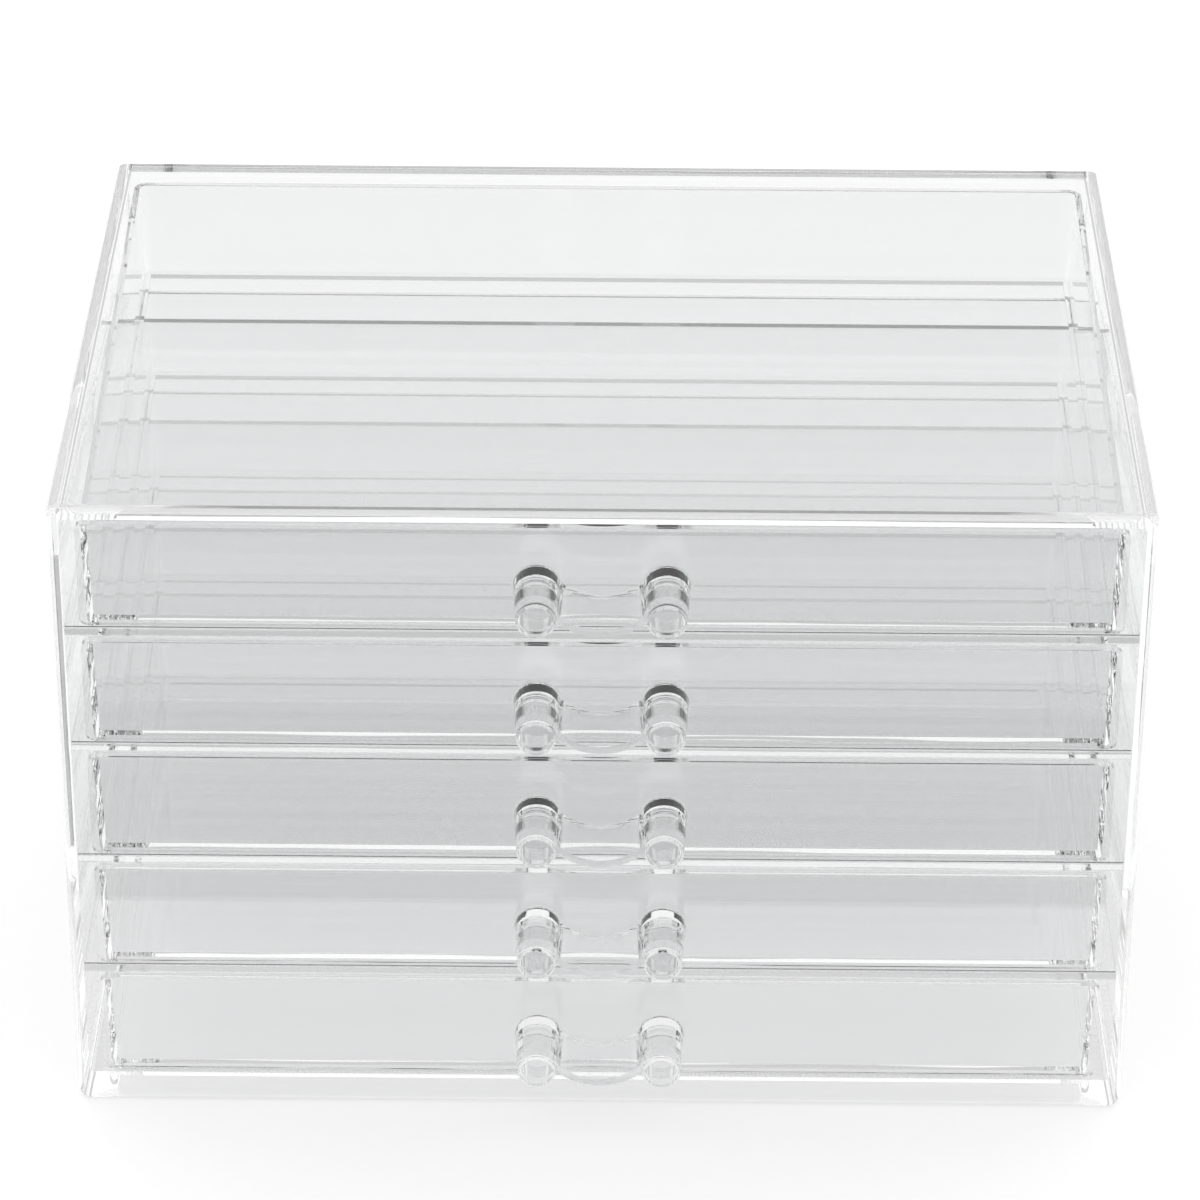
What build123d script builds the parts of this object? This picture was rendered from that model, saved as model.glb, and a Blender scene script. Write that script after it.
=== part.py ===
from build123d import *
import math
import os

# Clear moulded jewellery organizer: a case with four shelves and five pull-out drawers.
# Millimetres, +Z up. The origin lies on the table, midway along X between the sides and midway
# along Y between the tips of the pulls and the back of the case. The drawers open towards -Y.
# Level 1 is the top drawer.

# Case
case_width = 235.0            # across the front
case_depth = 152.0
case_side_draft = 2.7         # each side stands in by this much at the back
case_wall = 2.9
case_top_thickness = 3.1
case_corner_radius = 2.6      # corners of the outline, seen from the front
case_front_edge_radius = 1.6
case_back_edge_chamfer = 0.8
cavity_corner_radius = 1.2

# Base: a floor plate carried on a rim that runs round its underside
base_height = 8.2             # from the table to the top of the floor plate
floor_plate_thickness = 2.8
rim_wall = 4.0
rim_corner_radius = 4.0

# Levels
level_count = 5
level_clear_height = 27.3     # free height of one drawer bay
shelf_thickness = 2.5
shelf_recess = 0.6            # front edges stand behind the face of the case
shelf_back_gap = 22.6         # the shelves end this far in front of the back panel
shelf_edge_radius = 0.5
back_panel_thickness = 2.4

# Drawer front
front_overhang = 1.0          # the front stands out past the rim of the tray at each side
front_thickness = 2.2
front_recess = 0.4            # behind the face of the case
front_corner_radius = 1.6
front_edge_chamfer = 0.4
gap_under_front = 0.6
gap_over_front = 1.3

# Drawer tray
tray_wall = 1.4
tray_floor = 1.3
tray_foot_height = 1.1        # the floor is carried on a low foot that runs round its underside
tray_foot_width = 2.4
tray_foot_corner_radius = 1.0
tray_draft_angle = 1.5
tray_back_corner_radius = 3.0
tray_bottom_edge_chamfer = 1.0
tray_rim_drop = 1.0           # rim below the upper edge of the drawer front
gap_beside_tray = 1.7         # at each side of the rim, in the narrow back end of the case
gap_under_tray = 0.3
gap_behind_tray = 1.2

# Pull: two hollow posts and the curved strap between them
post_spacing = 27.6
post_length = 14.4
post_radius = 4.9
post_tip_bevel = 0.9
post_wall = 1.7
post_tip_thickness = 2.0
strap_curve_radius = 10.2     # of the upper face, whose centre lies above the posts
strap_sag = 3.0               # lowest line of the upper face below the post axis
strap_thickness = 1.8
strap_setback = 1.4           # the strap ends this far behind the tips of the posts
pull_drop = 1.7               # post axis below the middle of the drawer front

# Cemented joints
glue_line = 0.1

# Values that follow from the sizes above
level_pitch = level_clear_height + shelf_thickness
cavity_height = level_count * level_pitch - shelf_thickness
case_height = base_height + cavity_height + case_top_thickness
strap_length = post_length - strap_setback
pull_reach = post_length + glue_line - front_recess
overall_depth = case_depth + pull_reach
case_front_y = pull_reach - overall_depth / 2
case_back_y = case_front_y + case_depth
case_back_width = case_width - 2 * case_side_draft
front_face_y = case_front_y + front_recess
front_back_y = front_face_y + front_thickness
back_panel_face_y = case_back_y - back_panel_thickness
tray_back_y = back_panel_face_y - gap_behind_tray
tray_width = case_back_width - 2 * case_wall - 2 * gap_beside_tray
tray_height = level_clear_height - gap_over_front - tray_rim_drop - gap_under_tray
tray_draft_slope = math.tan(math.radians(tray_draft_angle))
front_width = tray_width + 2 * front_overhang
front_height = level_clear_height - gap_under_front - gap_over_front
post_axes = [Pos(side * post_spacing / 2, 0) for side in (-1, 1)]

stand_on_z = (Align.CENTER, Align.CENTER, Align.MIN)


def bay_floor(level):
    """Height of the surface that the drawer of this level slides on."""
    return base_height + (level_count - level) * level_pitch


def outer_width(y):
    """Outside width of the case at this depth."""
    return case_width - 2 * case_side_draft * (y - case_front_y) / case_depth


def cavity_width(y):
    """Inside width of the case at this depth."""
    return outer_width(y) - 2 * case_wall


def plate(width_at, y_front, y_back, thickness):
    """Flat plate on z = 0, as wide at each end as width_at says."""
    half_front = width_at(y_front) / 2
    half_back = width_at(y_back) / 2
    outline = Polygon((-half_front, y_front), (half_front, y_front),
                      (half_back, y_back), (-half_back, y_back), align=None)
    return extrude(outline, thickness)


def lengthwise(edge):
    """True for an edge that runs from front to back."""
    return abs(edge.tangent_at(0.5).Y) > 0.9


def tapered_block(width_at, y_front, y_back, height, radius):
    """Thick plate whose four long edges are rounded."""
    block = plate(width_at, y_front, y_back, height)
    return fillet(block.edges().filter_by(lengthwise), radius)


def case_shell():
    """Top, sides and floor plate of the case, with the rim under it."""
    body = tapered_block(outer_width, case_front_y, case_back_y, case_height, case_corner_radius)
    body = fillet(body.faces().sort_by(Axis.Y)[0].edges(), case_front_edge_radius)
    body = chamfer(body.faces().sort_by(Axis.Y)[-1].edges(), case_back_edge_chamfer)
    bay_space = tapered_block(cavity_width, case_front_y - case_wall, case_back_y + case_wall,
                              cavity_height, cavity_corner_radius)
    pocket_outline = RectangleRounded(case_back_width - 2 * rim_wall, case_depth - 2 * rim_wall,
                                      rim_corner_radius)
    pocket = extrude(pocket_outline, base_height - floor_plate_thickness)
    return body - Pos(0, 0, base_height) * bay_space - Pos(0, case_front_y + case_depth / 2) * pocket


def cemented_width(y):
    """Width of a plate that is cemented between the sides of the case."""
    return cavity_width(y) - 2 * glue_line


def back_panel():
    """Plate cemented into the back end of the case."""
    panel = tapered_block(cemented_width, back_panel_face_y, case_back_y,
                          cavity_height - 2 * glue_line, cavity_corner_radius)
    return Pos(0, 0, base_height + glue_line) * panel


def shelf(level):
    """Shelf under the drawer of this level, cemented to the sides and open at the back."""
    board = plate(cemented_width, case_front_y + shelf_recess, back_panel_face_y - shelf_back_gap,
                  shelf_thickness)
    board = fillet(board.faces().sort_by(Axis.Y)[0].edges().filter_by(Axis.X), shelf_edge_radius)
    return Pos(0, 0, bay_floor(level) - shelf_thickness) * board


def tray_section(wall, z, extra_inset):
    """Level cut through the tray at height z, inside its outer face by the wall and the inset."""
    corner = tray_back_corner_radius - wall
    inset = wall + (tray_height - z) * tray_draft_slope + extra_inset
    width = tray_width - 2 * inset
    y_front = case_front_y - front_thickness
    depth = tray_back_y - inset - y_front
    return Pos(0, y_front + depth / 2, z) * RectangleRounded(width, depth, corner)


def foot_hollow():
    """Shallow recess under the tray's floor, inside the foot."""
    inset = tray_height * tray_draft_slope + tray_foot_width
    y_front = front_back_y + glue_line + tray_foot_width
    y_back = tray_back_y - inset
    outline = RectangleRounded(tray_width - 2 * inset, y_back - y_front, tray_foot_corner_radius)
    return Pos(0, (y_front + y_back) / 2) * extrude(outline, tray_foot_height)


def drawer_tray(level):
    """Moulded tray: floor, two sides and back. The drawer front closes its fourth side."""
    outside = loft([tray_section(0, 0, tray_bottom_edge_chamfer),
                    tray_section(0, tray_bottom_edge_chamfer, 0),
                    tray_section(0, tray_height, 0)], ruled=True)
    floor_top = tray_foot_height + tray_floor
    inside = loft([tray_section(tray_wall, floor_top, 0),
                   tray_section(tray_wall, tray_height + floor_top, 0)], ruled=True)
    walls = outside - inside - foot_hollow()
    keep = Pos(0, front_back_y + glue_line + case_depth / 2) * Box(case_width, case_depth, 2 * case_height)
    return Pos(0, 0, bay_floor(level) + gap_under_tray) * (walls & keep)


def front_middle(level):
    """Height of the middle of this level's drawer front."""
    return bay_floor(level) + gap_under_front + front_height / 2


def drawer_front(level):
    """Flat panel that closes the tray and stands a little proud of it at each side."""
    outline = RectangleRounded(front_width, front_height, front_corner_radius)
    place = Plane.XZ.offset(-front_back_y) * Pos(0, front_middle(level))
    panel = extrude(place * outline, front_thickness)
    return chamfer(panel.faces().sort_by(Axis.Y)[0].edges(), front_edge_chamfer)


def strap():
    """Curved strap that hangs between the posts. Its length runs along Z."""
    curve_centre = Pos(0, strap_curve_radius - strap_sag)
    ring = Circle(strap_curve_radius + strap_thickness) - Circle(strap_curve_radius)
    between_posts = Rectangle(post_spacing, 2 * post_radius)
    return extrude((curve_centre * ring) & between_posts, strap_length)


def drawer_pull(level):
    """Two hollow posts with bevelled tips, and the curved strap between them."""
    post = Cylinder(post_radius, post_length, align=stand_on_z)
    post = chamfer(post.edges().sort_by(Axis.Z)[-1], post_tip_bevel)
    bore = Cylinder(post_radius - post_wall, post_length - post_tip_thickness, align=stand_on_z)
    body = strap()
    for axis in post_axes:
        body += axis * post
        body -= axis * bore
    place = Plane.XZ.offset(-(front_face_y - glue_line)) * Pos(0, front_middle(level) - pull_drop)
    return place * body


def write(shape, name):
    export_step(shape, f"parts/{name}.step")


os.makedirs("parts", exist_ok=True)
write(case_shell(), "case_shell")
write(back_panel(), "back_panel")
for level in range(1, level_count):
    write(shelf(level), f"shelf_{level}")
for level in range(1, level_count + 1):
    write(drawer_tray(level), f"drawer_{level}_tray")
    write(drawer_front(level), f"drawer_{level}_front")
    write(drawer_pull(level), f"drawer_{level}_pull")
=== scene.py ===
import bmesh
import bpy
import math
from mathutils import Matrix, Vector


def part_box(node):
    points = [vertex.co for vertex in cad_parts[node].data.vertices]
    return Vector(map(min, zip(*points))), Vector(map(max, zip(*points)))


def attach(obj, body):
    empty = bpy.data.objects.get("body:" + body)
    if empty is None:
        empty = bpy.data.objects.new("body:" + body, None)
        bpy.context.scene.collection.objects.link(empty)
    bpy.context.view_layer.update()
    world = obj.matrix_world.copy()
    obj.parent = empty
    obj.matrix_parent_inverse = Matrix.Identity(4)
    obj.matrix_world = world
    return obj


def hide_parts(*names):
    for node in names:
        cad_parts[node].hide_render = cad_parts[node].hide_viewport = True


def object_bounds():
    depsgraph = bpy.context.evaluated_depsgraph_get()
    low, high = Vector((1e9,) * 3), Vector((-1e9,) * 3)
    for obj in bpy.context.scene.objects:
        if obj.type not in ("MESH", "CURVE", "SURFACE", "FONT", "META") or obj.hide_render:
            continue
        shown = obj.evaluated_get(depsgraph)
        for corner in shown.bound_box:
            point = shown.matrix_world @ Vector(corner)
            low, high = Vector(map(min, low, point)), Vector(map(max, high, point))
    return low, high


bl_info = {
    "name": "Clear jewellery organizer",
    "version": (1, 0, 0),
    "blender": (4, 5, 0),
    "location": "View3D > Sidebar > Organizer",
    "description": "Finishes a clear case with five drawers and lights it in a white studio",
    "category": "Object",
}

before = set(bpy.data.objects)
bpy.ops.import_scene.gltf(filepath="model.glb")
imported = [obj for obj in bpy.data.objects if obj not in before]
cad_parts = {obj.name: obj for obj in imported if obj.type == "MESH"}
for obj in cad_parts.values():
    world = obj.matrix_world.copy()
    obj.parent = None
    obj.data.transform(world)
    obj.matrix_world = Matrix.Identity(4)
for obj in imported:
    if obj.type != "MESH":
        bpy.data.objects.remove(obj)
cad_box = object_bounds()

LEVELS = range(1, 6)
MM = 0.001
CLOSE = MM / 1000           # points nearer than this are one point
POST_STEPS = 128            # flats round a post
STRAP_STEPS = 96            # flats along a strap
FILLET_STEPS = 6
CORNER_STEPS = 8


# Shader values


class Value:
    """One output of a shader node, which Python's arithmetic turns into Math nodes."""

    def __init__(self, socket):
        self.socket = socket

    def math(self, operation, first, second):
        """Adds a Math node and returns what comes out of it."""
        tree = self.socket.id_data
        node = tree.nodes.new("ShaderNodeMath")
        node.operation = operation
        for entry, value in zip(node.inputs, (first, second)):
            if isinstance(value, Value):
                tree.links.new(value.socket, entry)
            else:
                entry.default_value = value
        return Value(node.outputs[0])

    def __add__(self, other):
        return self.math("ADD", self, other)

    def __radd__(self, other):
        return self.math("ADD", other, self)

    def __sub__(self, other):
        return self.math("SUBTRACT", self, other)

    def __rsub__(self, other):
        return self.math("SUBTRACT", other, self)

    def __mul__(self, other):
        return self.math("MULTIPLY", self, other)

    def __rmul__(self, other):
        return self.math("MULTIPLY", other, self)


class Finish:
    """A node tree under construction."""

    def __init__(self, tree):
        self.tree = tree
        tree.nodes.clear()

    def node(self, kind, settings, inputs):
        """Adds a node: its settings first, then the values or links of its inputs."""
        node = self.tree.nodes.new(kind)
        for name, value in settings.items():
            setattr(node, name, value)
        for name, value in inputs.items():
            if isinstance(value, Value):
                self.tree.links.new(value.socket, node.inputs[name])
            else:
                node.inputs[name].default_value = value
        return node

    def value(self, kind, settings, inputs, output=0):
        """Adds a node and returns one of its outputs."""
        return Value(self.node(kind, settings, inputs).outputs[output])


def clear_plastic(name, plastic, seed):
    """Polished clear plastic with the faint waves and haze of a moulded surface."""
    material = bpy.data.materials.new(name)
    material.use_nodes = True
    finish = Finish(material.node_tree)
    place = finish.value("ShaderNodeTexCoord", {}, {}, "Object")
    shifted = finish.value("ShaderNodeMapping", {}, {
        "Vector": place, "Location": (seed, seed * 0.37, 0.0)})
    waves = finish.value("ShaderNodeTexNoise", {}, {
        "Vector": shifted, "Scale": plastic.wave_scale, "Detail": 1.0})
    haze = finish.value("ShaderNodeTexNoise", {}, {
        "Vector": shifted, "Scale": plastic.haze_scale, "Detail": 3.0})
    bump = finish.value("ShaderNodeBump", {}, {
        "Height": waves, "Strength": plastic.wave_strength, "Distance": MM})
    roughness = plastic.roughness + plastic.haze * haze
    shader = finish.value("ShaderNodeBsdfPrincipled", {}, {
        "Base Color": (*plastic.tint, 1.0), "Roughness": roughness, "IOR": plastic.ior,
        "Transmission Weight": 1.0, "Normal": bump})
    finish.node("ShaderNodeOutputMaterial", {}, {"Surface": shader})
    return material


class OrganizerPlastic(bpy.types.PropertyGroup):
    """Clear plastic that the whole organizer is moulded from."""

    tint: bpy.props.FloatVectorProperty(
        name="Tint", description="Colour that light takes on at each surface",
        subtype="COLOR", size=3, default=(0.985, 0.987, 0.988), min=0.0, max=1.0)
    ior: bpy.props.FloatProperty(
        name="Refraction", description="Index of refraction of the plastic",
        default=1.57, min=1.3, max=1.8)
    roughness: bpy.props.FloatProperty(
        name="Roughness", description="Roughness of the polished surface",
        subtype="FACTOR", default=0.0, min=0.0, max=1.0)
    haze: bpy.props.FloatProperty(
        name="Haze", description="How much the roughness varies over the surface",
        subtype="FACTOR", default=0.012, min=0.0, max=1.0)
    haze_scale: bpy.props.FloatProperty(
        name="Haze scale", description="Scale of the haze", default=60.0, min=1.0)
    wave_scale: bpy.props.FloatProperty(
        name="Wave scale", description="Scale of the waves in the moulded surface",
        default=22.0, min=1.0)
    wave_strength: bpy.props.FloatProperty(
        name="Wave strength", description="Height of the waves in the moulded surface",
        subtype="FACTOR", default=0.02, min=0.0, max=1.0)


def length(name, description, millimetres):
    """A size in the scene's own metres, given in millimetres."""
    return bpy.props.FloatProperty(
        name=name, description=description, unit="LENGTH", subtype="DISTANCE", precision=5,
        default=millimetres * MM, min=0.0)


class OrganizerDrawer(bpy.types.PropertyGroup):
    """Tray and front panel of a drawer."""

    wall: length("Wall", "Thickness of the tray's sides and back", 1.4)
    floor: length("Floor", "Thickness of the tray's floor", 1.3)
    foot_height: length("Foot height", "Height of the foot under the tray", 1.1)
    foot_width: length("Foot width", "Width of the foot under the tray's sides and back", 2.4)
    foot_front: length("Foot at the front", "Width of the foot behind the front panel", 0.2)
    corner: length("Back corner", "Radius of the tray's back corners", 3.0)
    bottom_edge: length("Bottom edge", "Bevel round the tray's bottom", 1.0)
    panel_thickness: length("Panel thickness", "Thickness of the front panel", 1.6)
    panel_corner: length("Panel corner", "Radius of the front panel's corners", 1.6)
    lap: length("Lap", "How far the tray stands in the front panel", 0.5)
    draft: bpy.props.FloatProperty(
        name="Draft", description="Lean of the tray's sides and back",
        subtype="ANGLE", default=math.radians(1.5), min=0.0)


class OrganizerPull(bpy.types.PropertyGroup):
    """The two posts of a pull and the strap between them."""

    post_spacing: length("Post spacing", "From one post's axis to the other's", 27.6)
    length: length("Post length", "From the front panel to the tip", 14.5)
    base_radius: length("Base radius", "Radius of a post at the front panel", 5.0)
    base_fillet: length("Base fillet", "Radius where a post meets the front panel", 0.6)
    tip_radius: length("Tip radius", "Radius of a post at its tip", 4.3)
    tip_edge: length("Tip edge", "Bevel round the tip", 0.6)
    tip_thickness: length("Tip thickness", "Solid part at the tip", 1.6)
    bore_start: length("Bore start", "Solid part at the base", 10.5)
    bore_radius: length("Bore radius", "Radius of the hollow near the base", 4.0)
    bore_tip_radius: length("Bore tip radius", "Radius of the hollow near the tip", 3.7)
    bore_edge: length("Bore edge", "Bevel round the hollow's front end", 0.3)
    curve_radius: length("Strap curve", "Radius of the strap's upper face", 12.3)
    sag: length("Strap sag", "Lowest line of the strap's upper face below the posts' axes", 2.7)
    strap_thickness: length("Strap thickness", "Thickness of the strap", 1.8)
    strap_length: length("Strap length", "From the front panel to the strap's free edge", 13.0)
    lap: length("Lap", "How far the pull stands in the front panel", 0.5)


class OrganizerStudio(bpy.types.PropertyGroup):
    """Camera, floor and light."""

    camera_place: bpy.props.FloatVectorProperty(
        name="Camera place", description="Where the camera stands",
        subtype="TRANSLATION", unit="LENGTH", size=3, default=(0.00488, -1.03275, 0.76158))
    camera_down: bpy.props.FloatProperty(
        name="Camera down", description="How far the camera looks down",
        subtype="ANGLE", default=math.radians(32.999))
    camera_turn: bpy.props.FloatProperty(
        name="Camera turn", description="How far the camera looks to the left",
        subtype="ANGLE", default=math.radians(0.314))
    camera_roll: bpy.props.FloatProperty(
        name="Camera roll", description="Roll of the camera",
        subtype="ANGLE", default=math.radians(0.3044))
    lens: bpy.props.FloatProperty(
        name="Lens", description="Focal length in millimetres", default=162.58, min=10.0)
    floor_tone: bpy.props.FloatProperty(
        name="Floor tone", description="Lightness of the floor",
        subtype="FACTOR", default=0.9, min=0.0, max=1.0)
    floor_size: bpy.props.FloatProperty(
        name="Floor size", description="Width of the floor", unit="LENGTH", default=12.0, min=1.0)
    floor_glow: bpy.props.FloatProperty(
        name="Floor glow", description="Light that the table itself gives off", default=0.64, min=0.0)
    sky: bpy.props.FloatProperty(
        name="Sky", description="Brightness of the tent above and behind", default=0.82, min=0.0)
    front: bpy.props.FloatProperty(
        name="Front", description="Brightness of the room on the camera's side", default=0.4, min=0.0)
    backdrop: bpy.props.FloatProperty(
        name="Backdrop", description="Brightness of the plain backdrop", default=0.95, min=0.0)
    # The gap and size below place the dark card of painted shade: a sheet hidden from the camera that stands
    # in for the dark surroundings in front.
    painted_shade_card_gap: bpy.props.FloatProperty(
        name="Card gap", description="From the pulls to the dark card that lies in front, out of view",
        unit="LENGTH", default=0.06, min=0.0)
    painted_shade_card_size: bpy.props.FloatVectorProperty(
        name="Card size", description="Width and depth of the dark card",
        subtype="XYZ_LENGTH", unit="LENGTH", size=2, default=(1.6, 1.0))
    bounces: bpy.props.IntProperty(
        name="Bounces", description="How often light may cross or leave a surface of the plastic",
        default=160, min=8)
    # Painted shade: the tone of the hidden dark sheet that stands in for the dark surroundings in front.
    painted_shade_card_tone: bpy.props.FloatProperty(
        name="Card tone", description="Lightness of the dark card",
        subtype="FACTOR", default=0.05, min=0.0, max=1.0)


def dress(names, material):
    """Gives CAD nodes this material."""
    for name in names:
        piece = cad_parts[name]
        piece.data.materials.clear()
        piece.data.materials.append(material)


class ORGANIZER_OT_case(bpy.types.Operator):
    """Finish the case with its shelves and back panel"""

    bl_idname = "organizer.case"
    bl_label = "Case"

    def execute(self, context):
        plastic = context.scene.organizer_plastic
        dress(["case_shell"], clear_plastic("case plastic", plastic, 0.0))
        dress(["back_panel"], clear_plastic("back panel plastic", plastic, 3.1))
        dress([f"shelf_{level}" for level in LEVELS[:-1]], clear_plastic("shelf plastic", plastic, 5.3))
        return {"FINISHED"}


def new_mesh(shape, name):
    """Turns a finished bmesh into a mesh."""
    bmesh.ops.recalc_face_normals(shape, faces=shape.faces[:])
    mesh = bpy.data.meshes.new(name)
    shape.to_mesh(mesh)
    shape.free()
    return mesh


def combined(base, tool, operation):
    """Joins the tool to the base, or cuts it out."""
    scene = bpy.context.scene
    holder = bpy.data.objects.new("holder", base)
    cutter = bpy.data.objects.new("cutter", tool)
    scene.collection.objects.link(holder)
    scene.collection.objects.link(cutter)
    change = holder.modifiers.new("change", "BOOLEAN")
    change.solver = "EXACT"
    change.operation = operation
    change.object = cutter
    finished = holder.evaluated_get(bpy.context.evaluated_depsgraph_get())
    mesh = bpy.data.meshes.new_from_object(finished)
    for part in (holder, cutter):
        bpy.data.objects.remove(part)
    return mesh


def tidied(mesh):
    """Merges points that coincide and takes out slivers. All faces already point the right way."""
    shape = bmesh.new()
    shape.from_mesh(mesh)
    bmesh.ops.triangulate(shape, faces=shape.faces[:])
    bmesh.ops.remove_doubles(shape, verts=shape.verts[:], dist=CLOSE)
    bmesh.ops.dissolve_degenerate(shape, edges=shape.edges[:], dist=CLOSE)
    shape.to_mesh(mesh)
    shape.free()
    return mesh


def round_edges(shape, edges, radius, segments):
    """Rounds these edges, or cuts them off flat where segments is 1."""
    bmesh.ops.bevel(shape, geom=edges, offset=radius, segments=segments,
                    affect="EDGES", profile=0.5, material=-1, clamp_overlap=True)


def block(low, high):
    """Upright block between two corners."""
    low, high = Vector(low), Vector(high)
    size = high - low
    place = Matrix.Translation((low + high) / 2) @ Matrix.Diagonal((*size, 1.0))
    shape = bmesh.new()
    bmesh.ops.create_cube(shape, size=1.0, matrix=place)
    return shape


def runs_along(edge, axis):
    """True for an edge that runs nearly along this axis."""
    way = edge.verts[1].co - edge.verts[0].co
    return abs(way[axis]) > 0.9 * way.length


def tub(low, high, slope, corner):
    """Block that narrows downwards at its sides and back, with round back corners."""
    shape = block(low, high)
    lean = (high[2] - low[2]) * slope
    for vert in shape.verts:
        if vert.co.z < high[2] - MM:
            vert.co.x -= math.copysign(lean, vert.co.x)
            if vert.co.y > low[1] + MM:
                vert.co.y -= lean
    middle = (low[1] + high[1]) / 2
    corners = [edge for edge in shape.edges if runs_along(edge, 2) and edge.verts[0].co.y > middle]
    round_edges(shape, corners, corner, CORNER_STEPS)
    return shape


def drawer_tub(drawer):
    """Tray of the top drawer, open at its front end, which stands a little inside the front panel."""
    low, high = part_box("drawer_1_tray")
    panel_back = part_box("drawer_1_front")[0][1] + drawer.panel_thickness
    slope = math.tan(drawer.draft)
    y_front = panel_back - drawer.lap
    outside = tub((low[0], y_front, low[2]), high, slope, drawer.corner)
    under = [edge for edge in outside.edges if max(vert.co.z for vert in edge.verts) < low[2] + CLOSE]
    round_edges(outside, under, drawer.bottom_edge, 1)
    floor_top = low[2] + drawer.foot_height + drawer.floor
    above = high[2] + 5 * MM
    wide = drawer.wall - (above - high[2]) * slope
    inside = tub((low[0] + wide, y_front - MM, floor_top), (high[0] - wide, high[1] - wide, above),
                 slope, drawer.corner - drawer.wall)
    inset = (high[2] - low[2]) * slope + drawer.foot_width
    hollow = block((low[0] + inset, panel_back + drawer.foot_front, low[2] - MM),
                   (high[0] - inset, high[1] - inset, low[2] + drawer.foot_height))
    walls = combined(new_mesh(outside, "outside"), new_mesh(inside, "inside"), "DIFFERENCE")
    return combined(walls, new_mesh(hollow, "hollow"), "DIFFERENCE")


def drawer_panel(drawer):
    """Front panel of the top drawer."""
    low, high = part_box("drawer_1_front")
    shape = block(low, (high[0], low[1] + drawer.panel_thickness, high[2]))
    corners = [edge for edge in shape.edges if runs_along(edge, 1)]
    round_edges(shape, corners, drawer.panel_corner, CORNER_STEPS)
    return new_mesh(shape, "panel")


def turned(outline, x, name):
    """Solid turned round an axis along Y, which passes through this x."""
    shape = bmesh.new()
    verts = [shape.verts.new((radius, y, 0.0)) for radius, y in outline]
    edges = [shape.edges.new(pair) for pair in zip(verts, verts[1:])]
    bmesh.ops.spin(shape, geom=verts + edges, cent=(0, 0, 0), axis=(0, 1, 0), angle=math.tau,
                   steps=POST_STEPS, use_merge=True)
    bmesh.ops.remove_doubles(shape, verts=shape.verts[:], dist=MM / 100)
    bmesh.ops.translate(shape, verts=shape.verts[:], vec=(x, 0, 0))
    return new_mesh(shape, name)


def pull_post(pull, x):
    """One post, standing on the plane y = 0 and pointing along -Y."""
    outline = [(0.0, pull.lap), (pull.base_radius + pull.base_fillet, pull.lap),
               (pull.base_radius + pull.base_fillet, 0.0)]
    for step in range(1, FILLET_STEPS + 1):
        turn = math.radians(90 * step / FILLET_STEPS)
        outline.append((pull.base_radius + pull.base_fillet * (1 - math.sin(turn)),
                        -pull.base_fillet * (1 - math.cos(turn))))
    outline += [(pull.tip_radius, -pull.length + pull.tip_edge),
                (pull.tip_radius - pull.tip_edge, -pull.length), (0.0, -pull.length)]
    return turned(outline, x, "post")


def post_bore(pull, x):
    """Hollow inside a post, with a bevelled edge at its front end."""
    front = -pull.length + pull.tip_thickness
    outline = [(0.0, -pull.bore_start), (pull.bore_radius, -pull.bore_start),
               (pull.bore_tip_radius, front + pull.bore_edge),
               (pull.bore_tip_radius - pull.bore_edge, front), (0.0, front)]
    return turned(outline, x, "bore")


def pull_strap(pull):
    """Curved strap between the posts."""
    lift = pull.curve_radius - pull.sag
    reach = math.atan(pull.post_spacing / 2 / lift)
    shape = bmesh.new()
    corners = [(pull.curve_radius, pull.lap), (pull.curve_radius + pull.strap_thickness, pull.lap),
               (pull.curve_radius + pull.strap_thickness, -pull.strap_length),
               (pull.curve_radius, -pull.strap_length)]
    verts = [shape.verts.new((0.0, y, -radius)) for radius, y in corners]
    section = shape.faces.new(verts)
    bmesh.ops.rotate(shape, verts=verts, cent=(0, 0, 0), matrix=Matrix.Rotation(-reach, 3, "Y"))
    bmesh.ops.spin(shape, geom=[section, *section.edges[:], *verts], cent=(0, 0, 0), axis=(0, 1, 0),
                   angle=2 * reach, steps=STRAP_STEPS, use_duplicate=False)
    bmesh.ops.translate(shape, verts=shape.verts[:], vec=(0, 0, lift))
    return new_mesh(shape, "strap")


def drawer_pull(pull):
    """Pull of the top drawer, joined to the front panel by a short lap."""
    half = pull.post_spacing / 2
    mesh = combined(pull_post(pull, -half), pull_post(pull, half), "UNION")
    mesh = combined(mesh, pull_strap(pull), "UNION")
    for x in (-half, half):
        mesh = combined(mesh, post_bore(pull, x), "DIFFERENCE")
    low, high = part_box("drawer_1_pull")
    mesh.transform(Matrix.Translation((0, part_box("drawer_1_front")[0][1], (low[2] + high[2]) / 2)))
    return mesh


class ORGANIZER_OT_drawers(bpy.types.Operator):
    """Mould the five drawers, each with its tray, front and pull in one"""

    bl_idname = "organizer.drawers"
    bl_label = "Drawers"

    def execute(self, context):
        scene = context.scene
        drawer, pull = scene.organizer_drawer, scene.organizer_pull
        body = combined(drawer_tub(drawer), drawer_panel(drawer), "UNION")
        moulding = tidied(combined(body, drawer_pull(pull), "UNION"))
        material = clear_plastic("drawer plastic", scene.organizer_plastic, 7.9)
        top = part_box("drawer_1_front")[0][2]
        for level in LEVELS:
            mesh = moulding.copy()
            mesh.transform(Matrix.Translation((0, 0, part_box(f"drawer_{level}_front")[0][2] - top)))
            mesh.materials.clear()
            mesh.materials.append(material)
            piece = bpy.data.objects.new(f"drawer_{level}_moulding", mesh)
            scene.collection.objects.link(piece)
            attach(piece, f"drawer_{level}")
            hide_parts(f"drawer_{level}_tray", f"drawer_{level}_front", f"drawer_{level}_pull")
        return {"FINISHED"}


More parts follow.
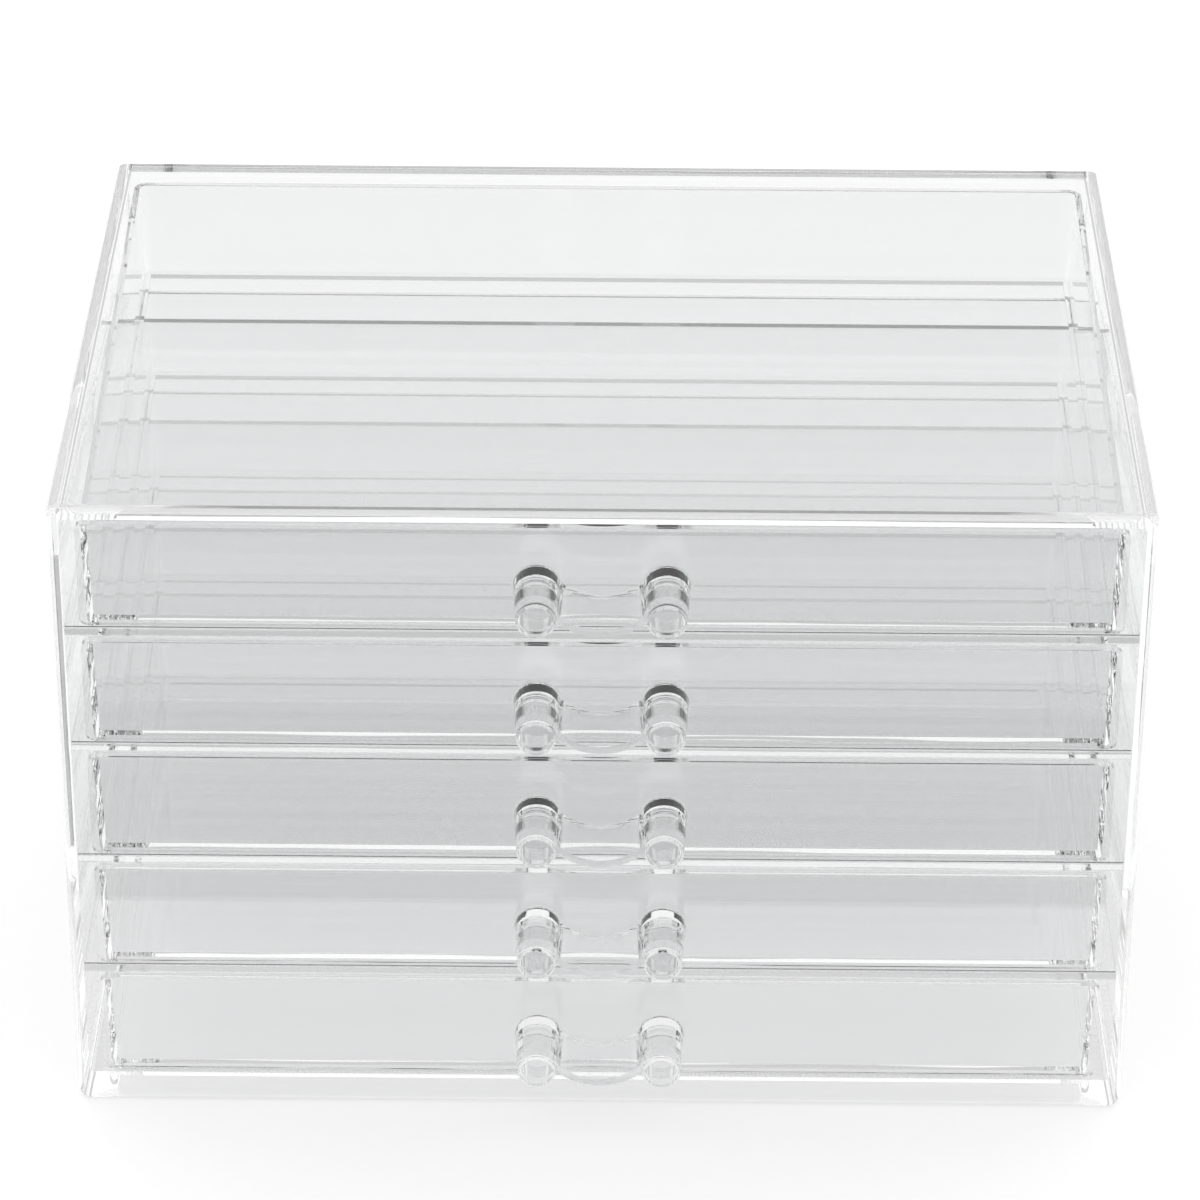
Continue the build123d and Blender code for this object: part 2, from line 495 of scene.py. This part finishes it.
def stage_floor(studio):
    """Plain white floor."""
    mesh = bpy.data.meshes.new("floor")
    shape = bmesh.new()
    bmesh.ops.create_grid(shape, x_segments=1, y_segments=1, size=studio.floor_size / 2)
    shape.to_mesh(mesh)
    shape.free()
    floor = bpy.data.objects.new("floor", mesh)
    bpy.context.scene.collection.objects.link(floor)
    material = bpy.data.materials.new("floor")
    material.use_nodes = True
    finish = Finish(material.node_tree)
    shader = finish.value("ShaderNodeBsdfPrincipled", {}, {
        "Base Color": (studio.floor_tone,) * 3 + (1.0,), "Roughness": 0.8, "Specular IOR Level": 0.1,
        "Emission Color": (1.0, 1.0, 1.0, 1.0), "Emission Strength": studio.floor_glow})
    finish.node("ShaderNodeOutputMaterial", {}, {"Surface": shader})
    mesh.materials.append(material)


def stage_painted_shade_card(studio):
    """Dark sheet of painted shade on the floor in front, out of the camera's sight, which darkens clear
    edges. It stands in for the dark surroundings in front of the table.
    """
    width, depth = studio.painted_shade_card_size
    y_back = cad_box[0][1] - studio.painted_shade_card_gap
    mesh = bpy.data.meshes.new("painted_shade_card")
    shape = bmesh.new()
    place = (Matrix.Translation((0.0, y_back - depth / 2, MM))
             @ Matrix.Diagonal((width / 2, depth / 2, 1.0, 1.0)))
    bmesh.ops.create_grid(shape, x_segments=1, y_segments=1, size=1.0, matrix=place)
    shape.to_mesh(mesh)
    shape.free()
    painted_shade_card = bpy.data.objects.new("painted_shade_card", mesh)
    bpy.context.scene.collection.objects.link(painted_shade_card)
    painted_shade_card.visible_camera = False
    material = bpy.data.materials.new("painted_shade_card")
    material.use_nodes = True
    finish = Finish(material.node_tree)
    # Painted shade: the dark colour of this hidden sheet stands in for the dark surroundings in front, which
    # the clear plastic shows as dark edges.
    shader = finish.value("ShaderNodeBsdfPrincipled", {}, {
        "Base Color": (studio.painted_shade_card_tone,) * 3 + (1.0,), "Roughness": 0.9, "Specular IOR Level": 0.1})
    finish.node("ShaderNodeOutputMaterial", {}, {"Surface": shader})
    mesh.materials.append(material)


def light_tent(studio):
    """White all round, darker on the camera's side."""
    world = bpy.data.worlds.new("tent")
    world.use_nodes = True
    bpy.context.scene.world = world
    finish = Finish(world.node_tree)
    direction = finish.value("ShaderNodeTexCoord", {}, {}, "Generated")
    parts = finish.node("ShaderNodeSeparateXYZ", {}, {"Vector": direction})
    depth = Value(parts.outputs["Y"])
    behind = finish.value("ShaderNodeMapRange", {"interpolation_type": "SMOOTHSTEP"}, {
        "Value": depth, "From Min": -0.8, "From Max": 0.2, "To Min": studio.front, "To Max": studio.sky})
    seen = finish.value("ShaderNodeLightPath", {}, {}, "Is Camera Ray")
    light = finish.value("ShaderNodeBackground", {}, {"Strength": behind + seen * (studio.backdrop - behind)})
    finish.node("ShaderNodeOutputWorld", {}, {"Surface": light})


def stage_camera(studio):
    """Camera at the photograph's place."""
    data = bpy.data.cameras.new("camera")
    data.sensor_width = 36.0
    data.lens = studio.lens
    data.clip_start, data.clip_end = 0.05, 50.0
    camera = bpy.data.objects.new("camera", data)
    bpy.context.scene.collection.objects.link(camera)
    turn = Matrix.Rotation(studio.camera_turn, 4, "Z")
    tilt = Matrix.Rotation(math.pi / 2 - studio.camera_down, 4, "X")
    roll = Matrix.Rotation(studio.camera_roll, 4, "Z")
    camera.matrix_world = Matrix.Translation(studio.camera_place) @ turn @ tilt @ roll
    bpy.context.scene.camera = camera


class ORGANIZER_OT_studio(bpy.types.Operator):
    """Set up the floor, the light and the camera"""

    bl_idname = "organizer.studio"
    bl_label = "Studio"

    def execute(self, context):
        scene = context.scene
        studio = scene.organizer_studio
        stage_floor(studio)
        # Dark sheet of painted shade in front, hidden from the camera.
        stage_painted_shade_card(studio)
        light_tent(studio)
        stage_camera(studio)
        scene.view_settings.view_transform = "Standard"
        scene.view_settings.look = "None"
        scene.cycles.max_bounces = studio.bounces
        scene.cycles.transmission_bounces = studio.bounces
        scene.cycles.glossy_bounces = studio.bounces
        scene.cycles.transparent_max_bounces = 32
        scene.cycles.use_denoising = True
        return {"FINISHED"}


class ORGANIZER_PT_panel(bpy.types.Panel):
    """Lists the organizer's pieces and settings"""

    bl_idname = "ORGANIZER_PT_panel"
    bl_label = "Organizer"
    bl_space_type = "VIEW_3D"
    bl_region_type = "UI"
    bl_category = "Organizer"

    def draw(self, context):
        for group_name in GROUPS:
            group = getattr(context.scene, group_name)
            for name in group.__annotations__:
                self.layout.prop(group, name)
        for operator in OPERATORS:
            self.layout.operator(operator.bl_idname)


GROUPS = {
    "organizer_plastic": OrganizerPlastic, "organizer_drawer": OrganizerDrawer,
    "organizer_pull": OrganizerPull, "organizer_studio": OrganizerStudio}
OPERATORS = (ORGANIZER_OT_case, ORGANIZER_OT_drawers, ORGANIZER_OT_studio)


def register():
    for group in GROUPS.values():
        bpy.utils.register_class(group)
    for operator in OPERATORS:
        bpy.utils.register_class(operator)
    bpy.utils.register_class(ORGANIZER_PT_panel)
    for name, group in GROUPS.items():
        setattr(bpy.types.Scene, name, bpy.props.PointerProperty(type=group))


def unregister():
    for name in GROUPS:
        delattr(bpy.types.Scene, name)
    bpy.utils.unregister_class(ORGANIZER_PT_panel)
    for operator in reversed(OPERATORS):
        bpy.utils.unregister_class(operator)
    for group in reversed(GROUPS.values()):
        bpy.utils.unregister_class(group)


def main():
    register()
    bpy.ops.organizer.case()
    bpy.ops.organizer.drawers()
    bpy.ops.organizer.studio()


if __name__ == "__main__":
    main()
